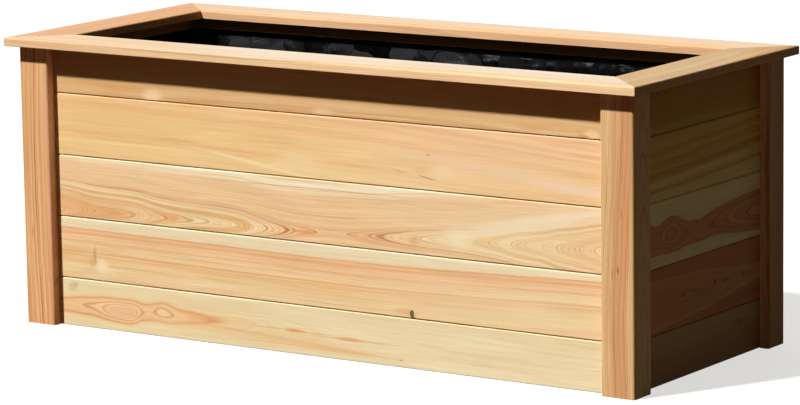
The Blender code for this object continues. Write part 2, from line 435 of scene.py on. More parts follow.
def relief(height, strength, distance):
    """The normal of a surface with the relief of a height."""
    made = add(tree_of(height), "ShaderNodeBump")
    return named(made, height=height, strength=strength, distance=distance).outputs[0]


TIMBER_SHEEN = 0.03
GRAIN_STRENGTH, GRAIN_DEPTH = 0.35, 0.00025


def timber(piece, origin, grain, sideways, half, pith, bands, ring=2.6, wander=0.5, stretch=1.0,
           point=0.0, blunt=8.0, reach=1000.0, uneven=1.5, late=0.55, seed=0.0, line="#B9824E",
           lines=0.6, blush="#DF9A62", blushed=0.25, tones=0.06, fibres=0.2, marks=()):
    """Planed larch for one piece: the pith beside it as (along, across, depth), the bands from
    the pith to the bark as (radius, colour, strength of their lines), and the marks on it."""
    material, tree, shader = new_material(piece + "_larch")
    place_in = place(tree, in_timber, origin=origin, grain=grain, sideways=sideways)
    along, across, depth = place_in["Along"], place_in["Across"], place_in["Depth"]
    masks = []
    swell = 0.0
    for x, y, half_length, half_width, colour, strength, slope, soft, bulge in marks:
        spot = place(tree, face_mark, along=along, across=across, middle_along=x, middle_across=y,
                     half_length=half_length, half_width=half_width, slope=slope, softness=soft)
        masks.append((spot["Mask"], colour, strength))
        if bulge:
            swell = plus(swell, times(spot["Nearness"], bulge))
    rings = place(tree, growth_rings, along=along, across=across, depth=depth,
                  pith_across=along_curve(along, half, [(x, a) for x, a, d in pith]),
                  pith_depth=along_curve(along, half, [(x, d) for x, a, d in pith]),
                  ring_width=ring, wander=wander, swell=swell, stretch=stretch, point=point,
                  round=blunt, reach=reach, uneven=uneven, late_from=late, seed=seed)
    low, high = bands[0][0], bands[-1][0]
    ramp = add(tree, "ShaderNodeValToRGB", ranged(rings["Radius"], low, high, how="LINEAR"))
    stops = ramp.color_ramp.elements
    for number, (radius, colour, strength) in enumerate(bands):
        at = (radius - low) / (high - low)
        stop = stops[number] if number < 2 else stops.new(at)
        stop.position = at
        stop.color = linear(colour, strength)
    shown = ramp.outputs["Alpha"]
    face = place(tree, planed_face, along=along, across=across, depth=depth,
                 end_grain=place_in["End Grain"], late_wood=rings["Late Wood"],
                 ring_tone=rings["Ring Tone"], blush=rings["Blush"], colour=ramp.outputs["Color"],
                 line_colour=linear(line), blush_colour=linear(blush), lines=times(shown, lines),
                 blushed=times(shown, blushed), tones=tones, fibres=fibres, seed=seed)
    colour = face["Colour"]
    for mask, mark_colour, strength in masks:
        colour = blend(times(mask, strength), colour, linear(mark_colour))
    named(shader, base_color=colour, roughness=face["Roughness"], specular_ior_level=TIMBER_SHEEN,
          normal=relief(face["Height"], GRAIN_STRENGTH, GRAIN_DEPTH))
    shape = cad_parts[piece].data
    shape.materials.clear()
    shape.materials.append(material)


def measured(name, grain):
    """A length of timber's lowest corner, middle and highest corner, and half its length in
    millimetres along the grain."""
    low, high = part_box(name)
    return low, (low + high) / 2, high, abs(Vector(grain).dot(high - low)) * 500


# Across and depth are measured from the post's left front edge, and along runs down.
DOWN = (0, 0, -1)
LEFT_TO_RIGHT = (1, 0, 0)
POST_TAN = [(30, "#DEA973", 1), (70, "#DFA974", 1), (90, "#E2AC78", 1), (98, "#E6B382", 1),
            (101, "#D69A64", 1), (104, "#E9B987", 1), (108, "#DBA06B", 1), (112, "#EBBD8B", 1),
            (115.5, "#D79C67", 1), (119, "#E8B886", 1), (123, "#DA9F6A", 1), (127, "#EABB89", 1),
            (131, "#D89D68", 1), (134.5, "#E5B07D", 1), (138, "#DCA370", 1), (146, "#DFA57C", 1),
            (160, "#D8996E", 1)]
# For the front right post: the pale stops up to 36 mm fall on its shaded side face and its right edge, and
# are painted light there.
POST_HALF_RED_PAINTED_LIT_SIDE = [(22, "#F0DFB8", 0.6), (30, "#EAD3A4", 0.6), (36, "#E0C594", 0.7), (41, "#D9B17E", 0.9),
                 (45, "#DDB07D", 0.9), (49, "#CB9164", 1), (52, "#D6A171", 0.9), (55, "#CB9265", 1),
                 (58, "#D8A776", 0.9), (61.5, "#CA9266", 1), (66, "#DCB17D", 0.8), (71, "#D8A978", 0.8),
                 (77, "#E0B985", 0.7), (95, "#DDB480", 0.8)]
# For the back right post: the pale stops up to 63.8 mm fall on the strip of its front face beside the wall,
# which lies in shade, and are painted light there; the browner stops beyond fall on its side.
POST_RED_PAINTED_LIT_STRIP = [(30, "#F4CFA8", 1), (61, "#F2C9A0", 1), (63.8, "#EDBE95", 1), (65.5, "#B3885C", 1),
            (80, "#BC966A", 1), (92, "#B28459", 1), (110, "#BC9467", 1)]
for corner, pith, bands, ring, lines, seed, marks in (
    ("front_left", ((-200, -94, 20), (0, -97, 24), (200, -92, 18)), POST_TAN, 4.4, 1.1, 3.0,
     # The first mark is a painted highlight: a pale band down the upper half of the right edge, which the
     # shaded side face takes too.
     [mark(-110, 49, 190, 3, "#F6C8A4", 0.95, soft=0.6),
      mark(66, 13, 22, 5, "#CF9460", 0.5, soft=0.7, bulge=3), mark(0, 2, 380, 5, "#D2935B", 0.5),
      mark(-100, 40, 300, 9, "#EBBF92", 0.4, soft=0.7)]),
    ("front_right", ((-200, 90, 25), (-100, 86, 25), (0, 79, 26), (90, 75, 25), (200, 77, 27)),
     POST_HALF_RED_PAINTED_LIT_SIDE, 2.5, 1.3, 11.0,
     [mark(30, 25, 9, 3, "#8A5A34", 0.6, soft=0.6, bulge=2),
      mark(36, 17, 12, 2.5, "#9A6B40", 0.5, soft=0.6), mark(-42, 30, 14, 2.5, "#A26F45", 0.4, soft=0.6),
      mark(-120, 20, 200, 7, "#C98D5E", 0.4, soft=0.8), mark(0, 46, 400, 4, "#D6A76C", 0.6)]),
    ("back_left", ((-200, -60, 30), (0, -64, 24), (200, -58, 28)), POST_TAN, 3.6, 0.7, 19.0, []),
    ("back_right", ((-200, 20, -58), (0, 22, -61), (200, 18, -56)), POST_RED_PAINTED_LIT_STRIP, 4.4, 1.1, 27.0, []),
):
    name = "post_" + corner
    low, middle, high, half = measured(name, DOWN)
    timber(name, (low.x, low.y, middle.z), DOWN, LEFT_TO_RIGHT, half, pith, bands, ring, wander=0.8,
           uneven=1.0, late=0.6, seed=seed, line="#AF6638", lines=lines, fibres=0.38, marks=marks)

# ----------------------------------------
# Front wall: five larch boards, planed, tongued above and grooved below, which run
# between the posts. The pith wanders under each one, so its figure is its own.
# Heartwood is salmon and tan, and the sapwood towards the bark is cream.
UP = (0, 0, 1)


def wall_board(name, grain, pith, bands, **look):
    """A wall board's timber, measured from the middle of its lower edge on its outer face."""
    low, middle, high, half = measured(name, grain)
    outer = Vector(grain).cross(Vector(UP))
    origin = middle + outer * abs(outer.dot(high - low)) / 2
    origin.z = low.z
    timber(name, origin, grain, UP, half, pith, bands, **look)


wall_board(
    "front_board_1", LEFT_TO_RIGHT,
    [(-440, 28, 17.6), (-384, 30, 15.0), (-322, 28, 9.5), (-297, 30, 15.3), (-285, 31, 16),
     (-262, 33, 14.3), (-235, 31, 16.8), (-162, 32, 19.8), (0, 29, 31), (440, 16, 34)],
    [(8, "#EBB98B", 0.5), (12.4, "#EDC092", 0.5), (12.9, "#DDA068", 0.6), (13.5, "#F0CC9E", 0.5),
     (14.6, "#EEC596", 0.5), (15.2, "#D4925C", 0.7), (15.9, "#EFC897", 0.5), (18.2, "#EABA88", 0.5),
     (19.3, "#DC9A63", 0.6), (20.3, "#EAC794", 0.3), (22, "#EBD2A2", 0.3), (28, "#EAD4A6", 0.3),
     (40, "#EBD7AD", 0.3), (55, "#E7D1A3", 0.35), (75, "#E9D4A8", 0.3)],
    ring=2.5, wander=0.7, uneven=1.0, seed=41.0, line="#CFA673", blush="#E8BD88", blushed=0.5, tones=0.05,
    marks=[mark(-41, 31, 28, 4.6, "#E2955C", 0.9, soft=0.6), mark(-75, 31.5, 110, 1.6, "#DDA26A", 0.6),
           mark(-10, 30.5, 60, 2, "#E0A56E", 0.6), mark(46, 28, 40, 5, "#E2A267", 0.9, soft=0.6),
           mark(50, 28, 140, 2, "#E3AE78", 0.65), mark(-172, 32, 30, 8, "#DC9157", 0.8, soft=0.6),
           mark(-190, 34, 60, 6, "#E5AE78", 0.5, soft=0.7),
           mark(-140, 35, 70, 9, "#EBC590", 0.7, soft=0.6),
           mark(-60, 16, 330, 10, "#E8C28C", 0.55, slope=-0.03, soft=0.7),
           mark(-60, 18, 260, 2.6, "#E0AA72", 0.6, slope=-0.045),
           mark(0, 11, 220, 2.2, "#DFAA72", 0.6, slope=-0.01),
           mark(-120, 22, 120, 2.6, "#E1AE76", 0.6, slope=-0.04),
           mark(-20, 14, 200, 1.4, "#D9A069", 0.5, slope=-0.03),
           mark(-65, 18, 230, 17, "#E8C28D", 0.55, slope=-0.03, soft=0.8),
           mark(-415, 55, 15, 13, "#C4AE88", 0.55, slope=0.2, soft=0.6),
           mark(-410, 58, 5, 5, "#B09A74", 0.4), mark(127, 9, 6, 1.6, "#9C8763", 0.7)],
)
wall_board(
    "front_board_2", LEFT_TO_RIGHT,
    [(-440, -56.3, 28), (-200, -58.5, 28), (0, -60.3, 28), (120, -60.0, 28), (300, -55, 28),
     (440, -50.8, 28)],
    [(50, "#EECC99", 0.8), (66, "#ECC996", 0.8), (76, "#EFD2A0", 0.7), (84, "#EECD99", 0.8),
     (91, "#ECC690", 0.9), (95.5, "#E4B57E", 1), (97, "#EEC996", 0.8), (99, "#E1AB72", 1),
     (101, "#F0CD9B", 0.8), (106, "#ECC694", 0.8), (110, "#F0D0A0", 0.7), (114, "#E9B986", 1),
     (117, "#F0CA9A", 0.7), (121, "#EFC190", 0.8), (125, "#E7AC7C", 1), (127.5, "#EEC090", 0.8),
     (130.5, "#E5A977", 1), (131.4, "#EBD2A7", 0.2), (136, "#EBD7AE", 0.2), (150, "#ECDBB6", 0.25)],
    ring=2.9, wander=0.42, seed=47.0, line="#C08A55", lines=0.5, blush="#E2A777", blushed=0.45, tones=0.07,
    fibres=0.24,
    marks=[mark(138, 8, 36, 9, "#DFA671", 0.7, soft=0.6), mark(156, 11, 22, 10, "#EEC29B", 0.7, soft=0.6),
           mark(145.5, 6.5, 6.5, 10.5, "#33170A", 0.97, soft=0.25, bulge=5),
           mark(146.5, 7.5, 2.5, 3.5, "#8A5230", 0.7, soft=0.4),
           mark(148.5, 1.5, 4, 4, "#5A2C14", 0.9, soft=0.3),
           mark(-364, 22, 19, 17, "#F4DDB4", 0.9, soft=0.7),
           mark(-354, 14, 30, 10, "#F1D8AC", 0.6, soft=0.7),
           mark(-376, 36, 5, 22, "#B98454", 0.55, soft=0.7),
           mark(-380, 26, 12, 14, "#CE9C66", 0.4, soft=0.7),
           mark(-372, 6, 40, 7, "#EDD1A3", 0.5, soft=0.6),
           mark(330, 47, 150, 7, "#F1D9B0", 0.5, slope=0.06, soft=0.7),
           mark(330, 27, 60, 20, "#EFD3A6", 0.5, soft=0.8),
           mark(280, 28, 320, 56, "#EED3A8", 0.35, soft=0.8),
           mark(-420, 40, 60, 8, "#E2AE74", 0.6, soft=0.6)],
)
wall_board(
    "front_board_3", LEFT_TO_RIGHT,
    [(-440, 11, 45), (-409, 12, 50.5), (-377, 12, 55.5), (-310, 12, 58), (-265, 13, 65.5), (-237, 13, 68),
     (-183, 14, 70.5), (-133, 14, 73), (-102, 14, 78), (-70, 14, 83), (-10, 16, 88), (40, 18, 88.5),
     (94, 19, 86), (125, 20, 83.5), (167, 22, 81), (210, 24, 78.5), (248, 25, 76), (275, 26, 73.5),
     (303, 27, 68.5), (348, 28, 63.5), (367, 28, 58.5), (398, 29, 53.5), (420, 30, 48.5), (440, 30, 44)],
    [(42, "#F3DBAA", 0.8), (48, "#EFC996", 0.8), (54, "#EBBF89", 0.9), (57, "#EABE88", 0.9),
     (60, "#EECB97", 0.9), (66, "#EEC793", 0.9), (68, "#E8B47D", 1), (70, "#F2D7A6", 0.6),
     (73, "#EFCF9D", 0.8), (75, "#E2B274", 1), (76.5, "#E5B77C", 1), (78.5, "#F2DAAA", 0.6),
     (83, "#EEC998", 0.9), (89, "#EBC08F", 0.9), (92, "#EEC897", 0.7), (112, "#EDC999", 0.6),
     (122, "#EBC597", 0.6), (131, "#F0D1A3", 0.5), (135, "#F4E2BB", 0.5), (137, "#EDC898", 0.8),
     (139, "#F5E5C4", 0.4), (146, "#F5E4C3", 0.4), (152, "#EFCD9D", 0.6), (175, "#EFCFA0", 0.6)],
    ring=1.35, wander=0.45, point=0.7, reach=34, uneven=0.9, late=0.52, seed=53.0,
    line="#B47746", lines=1.15, blush="#E3A676", blushed=0.35, tones=0.05, fibres=0.24,
    marks=[mark(335, 58, 215, 17, "#F4E0BE", 0.8, slope=0.19, soft=0.7),
           mark(400, 74, 90, 8, "#F3DAB8", 0.6, slope=0.16),
           mark(151, 19, 20, 11, "#DDA264", 0.8, soft=0.6),
           mark(158, 19, 8, 16, "#E8B98A", 0.6, soft=0.6),
           mark(-240, 13, 16, 10, "#E7A86D", 0.7, soft=0.6),
           mark(-22, 14, 34, 6, "#E59A62", 0.8, soft=0.6), mark(75, 17, 8, 13, "#E6A878", 0.6, soft=0.5),
           mark(94, 18, 6, 10, "#DB8F60", 0.5, soft=0.5),
           mark(-375, 12, 120, 28, "#DFA66E", 0.5, soft=0.6),
           mark(-425, 14, 40, 26, "#EBAE80", 0.5, soft=0.7),
           mark(222, 27, 36, 24, "#F4E0B6", 0.7, soft=0.7),
           mark(290, 34, 300, 60, "#F1DBB0", 0.42, soft=0.8),
           mark(-390, 44, 130, 6, "#F0D3A0", 0.6, slope=-0.06, soft=0.6),
           mark(-20, 73.5, 300, 1.4, "#C99762", 0.7, slope=0.005, soft=0.6),
           mark(60, 66, 420, 1.2, "#D6A673", 0.5, slope=0.04)],
)
wall_board(
    "front_board_4", LEFT_TO_RIGHT,
    [(-440, -40, 22), (-200, -44, 26), (0, -48, 30), (200, -60, 30), (440, -76, 30)],
    [(50, "#EBC78F", 0.7), (66, "#EFCC93", 0.6), (76, "#EEC78D", 0.6), (80, "#EABF87", 0.8),
     (84, "#EFC98F", 0.6), (98, "#EEC88E", 0.6), (108, "#EFC88F", 0.6), (114, "#EDC18A", 0.7),
     (118, "#ECBC86", 0.8), (122, "#EFC890", 0.6), (128, "#F1C58F", 0.7), (132, "#EEBB87", 0.8),
     (136, "#F2CB98", 0.7), (141, "#EFBC8C", 0.8), (146, "#F3C998", 0.7), (152, "#EFBC8C", 0.8),
     (170, "#F2CC9E", 0.7)],
    ring=2.9, wander=0.6, seed=59.0, line="#BC8450", lines=0.4, blush="#E5A577", blushed=0.35, tones=0.05,
    fibres=0.26,
    marks=[mark(-320, 22.5, 260, 4, "#F4D7A0", 1, soft=0.6),
           mark(-85, 12, 200, 5, "#F4D8A6", 1, slope=-0.14, soft=0.6),
           mark(-30, 22, 60, 22, "#F2D5A3", 0.6, soft=0.8),
           mark(-230, 35, 64, 4, "#E2AE72", 0.7, soft=0.7),
           mark(300, 32, 300, 12, "#F1D2B4", 0.45, slope=-0.09, soft=0.8),
           mark(395, 19, 120, 11, "#F3D6BE", 0.6, slope=-0.07, soft=0.7),
           mark(172, 17, 24, 1.8, "#8F5F35", 0.9, slope=-0.16, soft=0.4),
           mark(130, 22, 22, 1.2, "#A9754A", 0.6, slope=-0.15),
           mark(174, 47, 5, 1.8, "#A06A3E", 0.8, soft=0.4),
           mark(200, 26, 40, 18, "#F3D7A9", 0.65, soft=0.7),
           mark(163, 26, 26, 9, "#E0AF76", 0.6, soft=0.7),
           mark(60, 12, 260, 16, "#F0D09C", 0.5, soft=0.8),
           mark(-330, 75, 90, 5, "#E7B080", 0.45, soft=0.7),
           mark(-340, 40, 260, 90, "#E6B975", 0.3, soft=0.8),
           mark(260, 40, 340, 90, "#F2CCA6", 0.3, soft=0.8)],
)
wall_board(
    "front_board_5", LEFT_TO_RIGHT,
    [(-440, 130, 22), (0, 140, 26), (440, 126, 24)],
    # The stops up to 104 mm fall on the top of the board, in the rim's shadow: darker and redder there as
    # painted shade.
    [(70, "#C28E5E", 0.8), (84, "#C69362", 0.8), (96, "#D2A16D", 0.9), (104, "#D7A771", 1),
     (112, "#DFB883", 0.7), (120, "#DAAD77", 0.9), (128, "#E1BC88", 0.7), (136, "#D8A974", 1),
     (160, "#DFB781", 0.8)],
    ring=2.9, wander=0.7, seed=61.0, line="#BD8750", lines=0.5, blush="#DFA06E", blushed=0.4, tones=0.07,
    fibres=0.26,
    marks=[mark(-270, 5, 30, 20, "#F2D6A6", 0.8, soft=0.7),
           mark(-330, 14, 80, 7, "#DB9B65", 0.7, soft=0.7),
           mark(-380, 14, 140, 40, "#D2A261", 0.4, soft=0.8),
           mark(-400, 10, 80, 10, "#E2BE86", 0.5, soft=0.7),
           mark(335, 9, 40, 7, "#D89F69", 0.6, soft=0.7), mark(420, 6, 20, 12, "#F0D3A2", 0.7, soft=0.6),
           mark(408, 3, 16, 4, "#D9895A", 0.7, soft=0.5), mark(10, 5, 30, 10, "#F0D3A2", 0.5, soft=0.8),
           mark(90, 5, 180, 2, "#EFCB95", 0.6)],
)

# ----------------------------------------
# Right wall: the same boards across the end, the middle one with a wavy tongue of
# heartwood between two edges of sapwood.
FRONT_TO_BACK = (0, 1, 0)
# Board 1 is darker than the rest of the wall, and darker towards its lower edge: painted shade near the
# ground.
wall_board(
    "right_board_1", FRONT_TO_BACK, [(-165, -30, 34), (0, -34, 30), (165, -26, 32)],
    [(30, "#9C6F43", 0.6), (55, "#A2784B", 0.7), (72, "#AD8456", 0.5), (84, "#B79163", 0.3),
     (100, "#BB986A", 0.3)],
    ring=2.8, seed=141.0, line="#96693A", lines=0.4, blush="#A87548", blushed=0.4, tones=0.08,
    marks=[mark(97, 47, 6, 7, "#3E2313", 0.9, soft=0.4, bulge=4), mark(101, 44, 22, 8, "#A07248", 0.6),
           mark(-20, 16, 10, 6, "#8C6038", 0.4, soft=0.7)],
)
wall_board(
    "right_board_2", FRONT_TO_BACK,
    [(-165, 38, 24), (-60, 38, 29), (0, 39, 32), (60, 39, 37), (165, 41, 43)],
    [(20, "#CC915A", 0.8), (34, "#CA8D56", 0.9), (42, "#D39B68", 0.8), (45, "#D6A36C", 0.6),
     (48, "#C17F4B", 1), (55, "#BE7B4A", 1), (60, "#C88353", 0.9), (70, "#C58252", 0.9)],
    ring=2.6, stretch=0.3, point=0.5, blunt=5, late=0.66, seed=147.0, line="#8A4E2B", lines=1.0,
    blush="#B96C45", blushed=0.4, wander=0.8,
    marks=[mark(-50, 41, 9, 5, "#834B29", 0.7), mark(-21, 42, 8, 5, "#834B29", 0.7),
           mark(5, 36, 46, 12, "#A97C50", 0.5), mark(33, 44, 6, 8, "#834B29", 0.8),
           mark(63, 42, 18, 5, "#834B29", 0.7), mark(108, 42, 6, 10, "#834B29", 0.6),
           mark(112, 29, 60, 6, "#CFA275", 0.6, soft=0.7),
           mark(95, 14, 120, 12, "#A06A40", 0.5, slope=0.04, soft=0.6)],
)
wall_board(
    "right_board_3", FRONT_TO_BACK,
    [(-165, 40, 18), (-140, 39, 20), (-118, 36, 23), (-76, 40, 17.5), (-44, 35, 24.2), (-8, 33, 25.6),
     (32, 37, 24.6), (84, 37, 19.5), (149, 36, 13.5), (165, 36, 12.5)],
    [(8, "#DCB47B", 0.7), (14, "#D6A770", 0.9), (18, "#D0945E", 0.9), (21, "#DDA56D", 0.9),
     (24, "#CC8C58", 1), (27, "#D89B68", 0.9), (29.2, "#C88352", 1), (30.6, "#F3E8B0", 0.15),
     (45, "#F6EDB5", 0.15), (60, "#EFE2A6", 0.2)],
    ring=3.0, wander=0.7, uneven=1.0, late=0.6, seed=153.0, line="#7E4426", lines=1.2, blush="#BC6F45",
    blushed=0.35,
)
wall_board(
    "right_board_4", FRONT_TO_BACK, [(-165, -72, 25), (0, -67, 25), (165, -60, 25)],
    [(70, "#F1DF97", 0.4), (84, "#ECD88E", 0.5), (88.5, "#C29E58", 1), (92, "#EFD58B", 0.5),
     (98, "#F0DB92", 0.4), (103, "#DBB060", 0.8), (107.5, "#C3964A", 1), (112, "#DFB863", 0.7),
     (120, "#D9AD59", 0.8), (130, "#E0B963", 0.7), (137, "#CA9F47", 0.9), (142, "#E2BC66", 0.6),
     (160, "#D6A952", 0.7)],
    ring=3.0, wander=1.3, late=0.62, seed=159.0, line="#94652F", lines=0.8, blush="#B57C43", blushed=0.35,
    fibres=0.26,
)
# Board 5 is darker than the boards below it: painted shade at the top of the wall, under the rim.
wall_board(
    "right_board_5", FRONT_TO_BACK, [(-165, -60, 26), (0, -57, 24), (165, -62, 28)],
    [(55, "#C3AA56", 0.4), (70, "#BD9C4A", 0.5), (76, "#AA7E28", 0.7), (110, "#A87926", 0.7),
     (130, "#9E6F23", 0.8)],
    ring=3.0, wander=1.1, seed=161.0, line="#93652F", lines=0.6, blush="#AD753A", blushed=0.35, fibres=0.26,
)

# ----------------------------------------
# Back and left walls: the same boards again, some sawn beside the pith so that the
# rings run to tips, and some from further out so that they run straight.
drawn = random.Random(7)
LARCH = [(20, "#E3B37E", 0.9), (44, "#DFAB75", 1), (62, "#E6BA86", 0.8), (78, "#E2B07A", 0.9),
         (92, "#E9C291", 0.7), (104, "#E6B986", 0.8), (112, "#EAC796", 0.5), (120, "#EBD2A3", 0.2),
         (150, "#EAD3A6", 0.2)]
for side, grain in (("back", (-1, 0, 0)), ("left", (0, -1, 0))):
    for number in range(1, 6):
        name = f"{side}_board_{number}"
        half = measured(name, grain)[3]
        to_tips = number % 2 == (1 if side == "back" else 0)
        centre = drawn.uniform(25, 55) if to_tips else drawn.choice((-1, 1)) * drawn.uniform(45, 75) + 40
        deep = drawn.uniform(30, 45)
        swing = 14 if to_tips else 4
        pith = [(half * share, centre + drawn.uniform(-5, 5), deep + drawn.uniform(-swing, swing))
                for share in (-1, -0.6, -0.2, 0.2, 0.6, 1)]
        wall_board(name, grain, pith, LARCH, ring=drawn.uniform(2.4, 3.2), wander=drawn.uniform(0.4, 0.8),
                   stretch=0.4 if to_tips else 1.0, point=0.45 if to_tips else 0.0,
                   seed=drawn.uniform(0, 90), lines=0.55, blush="#E2A26C", blushed=0.4)

# ----------------------------------------
# Slatted floor: ten sawn slats laid across two bearers that are screwed to the front
# and back walls. It lies under the liner and lets water drain.
SAWN = [(10, "#DCB480", 0.8), (60, "#E0BD8C", 0.8), (130, "#E6CBA0", 0.5)]
for name in ["floor_bearer_front", "floor_bearer_back"] + [f"floor_slat_{n}" for n in range(1, 11)]:
    grain, sideways = (LEFT_TO_RIGHT, (0, 1, 0)) if "bearer" in name else ((0, 1, 0), (-1, 0, 0))
    low, middle, high, half = measured(name, grain)
    centre = drawn.uniform(-50, 50)
    timber(name, (middle.x, middle.y, high.z), grain, sideways, half,
           [(-half, centre, 30), (0, centre + 6, 38), (half, centre - 4, 26)], SAWN,
           drawn.uniform(2.5, 4), 0.8, seed=drawn.uniform(0, 90), lines=0.5, tones=0.1, fibres=0.3)

# ----------------------------------------
# Battens: thin sawn strips inside the top of the walls. They are pinned on and clamp
# the liner's edge.
RIM_WAYS = {"front": ((1, 0, 0), (0, 1, 0)), "back": ((-1, 0, 0), (0, -1, 0)),
            "left": ((0, -1, 0), (1, 0, 0)), "right": ((0, 1, 0), (-1, 0, 0))}
# The battens' colour is darker than the other larch: painted shade, as they sit in the rim's shadow.
for side, (grain, sideways) in RIM_WAYS.items():
    name = "rim_batten_" + side
    low, middle, high, half = measured(name, grain)
    timber(name, (middle.x, middle.y, high.z), grain, sideways, half,
           [(-half, 20, 20), (0, 24, 26), (half, 18, 22)], [(10, "#A87848", 0.8), (60, "#B08353", 0.8)],
           3.0, seed=drawn.uniform(0, 90))

# ----------------------------------------
# Top rim: four flat larch boards, mitred at the corners, with rounded edges. They are
# fixed from below, so nothing shows on top.
# In the front and back rims the stops on the top faces are greyer than those on the outer and inner faces
# of the same board: painted sheen on the tops.
RIM_BANDS = {
    "front": [(20, "#EEC79A", 0.8), (30, "#EFC898", 0.8), (36, "#EFC898", 0.8), (38, "#D3B692", 0.6),
              (44, "#D7C0A2", 0.6), (52, "#D4C5B3", 0.4), (60, "#D9C1A4", 0.6), (70, "#D7C4AE", 0.4),
              (78, "#D5C6B4", 0.4), (90, "#DAC8B0", 0.5)],
    "back": [(20, "#D9B083", 0.8), (36, "#D6B691", 0.7), (46, "#D3BBA2", 0.5), (54, "#D8B994", 0.8),
             (64, "#D3BAA2", 0.5), (74, "#D9BE9C", 0.6), (84, "#D1B089", 0.8), (87, "#E2B386", 0.8),
             (92, "#E2B386", 0.8)],
    "left": [(20, "#CF9D70", 0.8), (46, "#CCA07B", 0.7), (60, "#C59670", 0.9), (76, "#CB9F7B", 0.7),
             (90, "#D09A66", 0.8), (110, "#D6A678", 0.7)],
    "right": [(20, "#A67C46", 0.8), (34, "#AE8650", 0.8), (40, "#BA9D72", 0.7), (50, "#B1906A", 0.9),
              (60, "#BCA27C", 0.7), (76, "#B39570", 0.8), (90, "#B99C73", 0.7)],
}
RIM_MARKS = {"front": [mark(-350, 4, 320, 60, "#D2AC80", 0.6, soft=0.8)],
             "right": [mark(190, 0, 130, 80, "#A5875F", 0.5, soft=0.9)]}
for side, seed in (("front", 71.0), ("back", 73.0), ("left", 79.0), ("right", 83.0)):
    name = "rim_" + side
    grain, sideways = RIM_WAYS[side]
    low, middle, high, half = measured(name, grain)
    timber(name, (middle.x, middle.y, high.z), grain, sideways, half,
           [(-half, -50, 30), (-half / 3, -57, 34), (half / 3, -52, 30), (half, -48, 28)],
           RIM_BANDS[side], 2.9, seed=seed, line="#B5824F", lines=0.5, blush="#D8A582", blushed=0.4,
           fibres=0.24, marks=RIM_MARKS.get(side, ()))

# ----------------------------------------
# Liner: black polyethylene film laid into the box as a tub. Its edge is held flat
# between the battens and the walls; below them it hangs in loose pleats and creases.
FILM = 0.0003
FILM_BEND = 0.014
ALONG_STEPS, ACROSS_STEPS, DOWN_STEPS = 212, 78, 52
LINER_HALF = 0.0005
UNDER_BATTEN = 0.002
liner_low, liner_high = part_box("foil_liner")
half_long = liner_high.x - LINER_HALF
half_wide = liner_high.y - LINER_HALF
film_bottom = liner_low.z + LINER_HALF
film_top = liner_high.z
held_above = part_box("rim_batten_back")[0].z - UNDER_BATTEN
hang = film_top - film_bottom

# Pleats as (place along the wall, how far they stand in, lean), in millimetres. Those on
# the back wall are the loose ones that show over the rim.
BACK_PLEATS = [
    (-454, 0, 0), (-417, 1, 0.2), (-411, 6, 0.2), (-372, 4, 0), (-367, 8, 0), (-330, 5, -0.2),
    (-306, 3, -0.8), (-300, 7, -0.8), (-262, 3, 0), (-254, 6, 0), (-226, 7, 0.3), (-203, 3, 0.5),
    (-197, 8, 0.5), (-174, 4, 0.6), (-168, 8, 0.6), (-136, 3, 0), (-130, 7, 0), (-104, 4, 0), (-99, 8, 0),
    (-94, 5, 0), (-86, 9, -0.2), (-60, 4, 0), (-50, 9, 0.5), (-22, 11, 1.4), (-12, 4, 1.6), (8, 9, 2.0),
    (22, 4, 2.2), (40, 3, 1.0), (90, 8, 0.5), (148, 6, 0.5), (186, 3, 0), (206, 4, 0), (211, 9, 0.2),
    (216, 5, 0.2), (222, 10, 0.2), (232, 4, 0), (258, 3, -1.0), (276, 10, -1.4), (306, 5, -1.6),
    (350, 7, -0.4), (400, 3, 0), (454, 0, 0),
]


def drawn_pleats(reach):
    """Pleats at uneven places along a wall."""
    pleats = [(-reach, 0, 0)]
    at = -reach + drawn.uniform(20, 45)
    while at < reach - 25:
        pleats.append((at, drawn.uniform(2, 4), drawn.uniform(-0.8, 0.8)))
        at += drawn.uniform(5, 9)
        pleats.append((at, drawn.uniform(6, 10), pleats[-1][2]))
        at += drawn.uniform(18, 46)
    return pleats + [(reach, 0, 0)]


PLEATS = {"back": BACK_PLEATS, "front": drawn_pleats(454), "left": drawn_pleats(164),
          "right": drawn_pleats(164)}


def smooth(value):
    """0 below 0 and 1 above 1, with a soft step between."""
    held = min(max(value, 0.0), 1.0)
    return held * held * (3 - 2 * held)


def pleated(wall, at, drop):
    """How far the film stands in from a wall, both in millimetres, at a place and a drop."""
    pleats = PLEATS[wall]
    for (before, low_in, lean), (after, high_in, next_lean) in zip(pleats, pleats[1:]):
        start = before + lean * drop
        end = after + next_lean * drop
        if start <= at <= end:
            return low_in + (high_in - low_in) * (at - start) / max(end - start, 0.1)
    return 3.0


# Loose folds across the back wall: from (along, drop) to (along, drop), how far they stand
# in, and how soft they are above and below, in millimetres.
BACK_FOLDS = [
    (-395, 22, -352, 13, 3, 7, 12), (-290, 12, -262, 34, 3, 5, 10), (-240, 30, -205, 14, 3, 6, 10),
    (-30, 10, 24, 46, 7, 6, 16), (44, 10, 122, 15, 6, 3, 34), (122, 17, 205, 10, 3, 4, 34),
    (224, 8, 262, 11, 3, 3, 30), (262, 11, 300, 32, 6, 4, 30), (300, 14, 430, 10, 4, 3, 34),
]


def folded(at, drop):
    """How far the loose folds push the film in from the back wall, in millimetres."""
    most = 0.0
    for start, high, end, low, stand, above, below in BACK_FOLDS:
        share = min(max((at - start) / (end - start), -0.5), 1.5)
        away = drop - (high + (low - high) * share)
        beside = max(start - at, at - end, 0.0) / 12
        reach = abs(away / (above if away < 0 else below)) ** 1.3 + beside * beside
        most = max(most, stand * math.exp(-reach))
    return most


def ridge(spot, size, seed):
    """Sharp creases a size apart, from 0 to 1."""
    return 1 - min(1.0, abs(noise.noise(spot / size + Vector((seed, seed, seed)))) * 2.4)


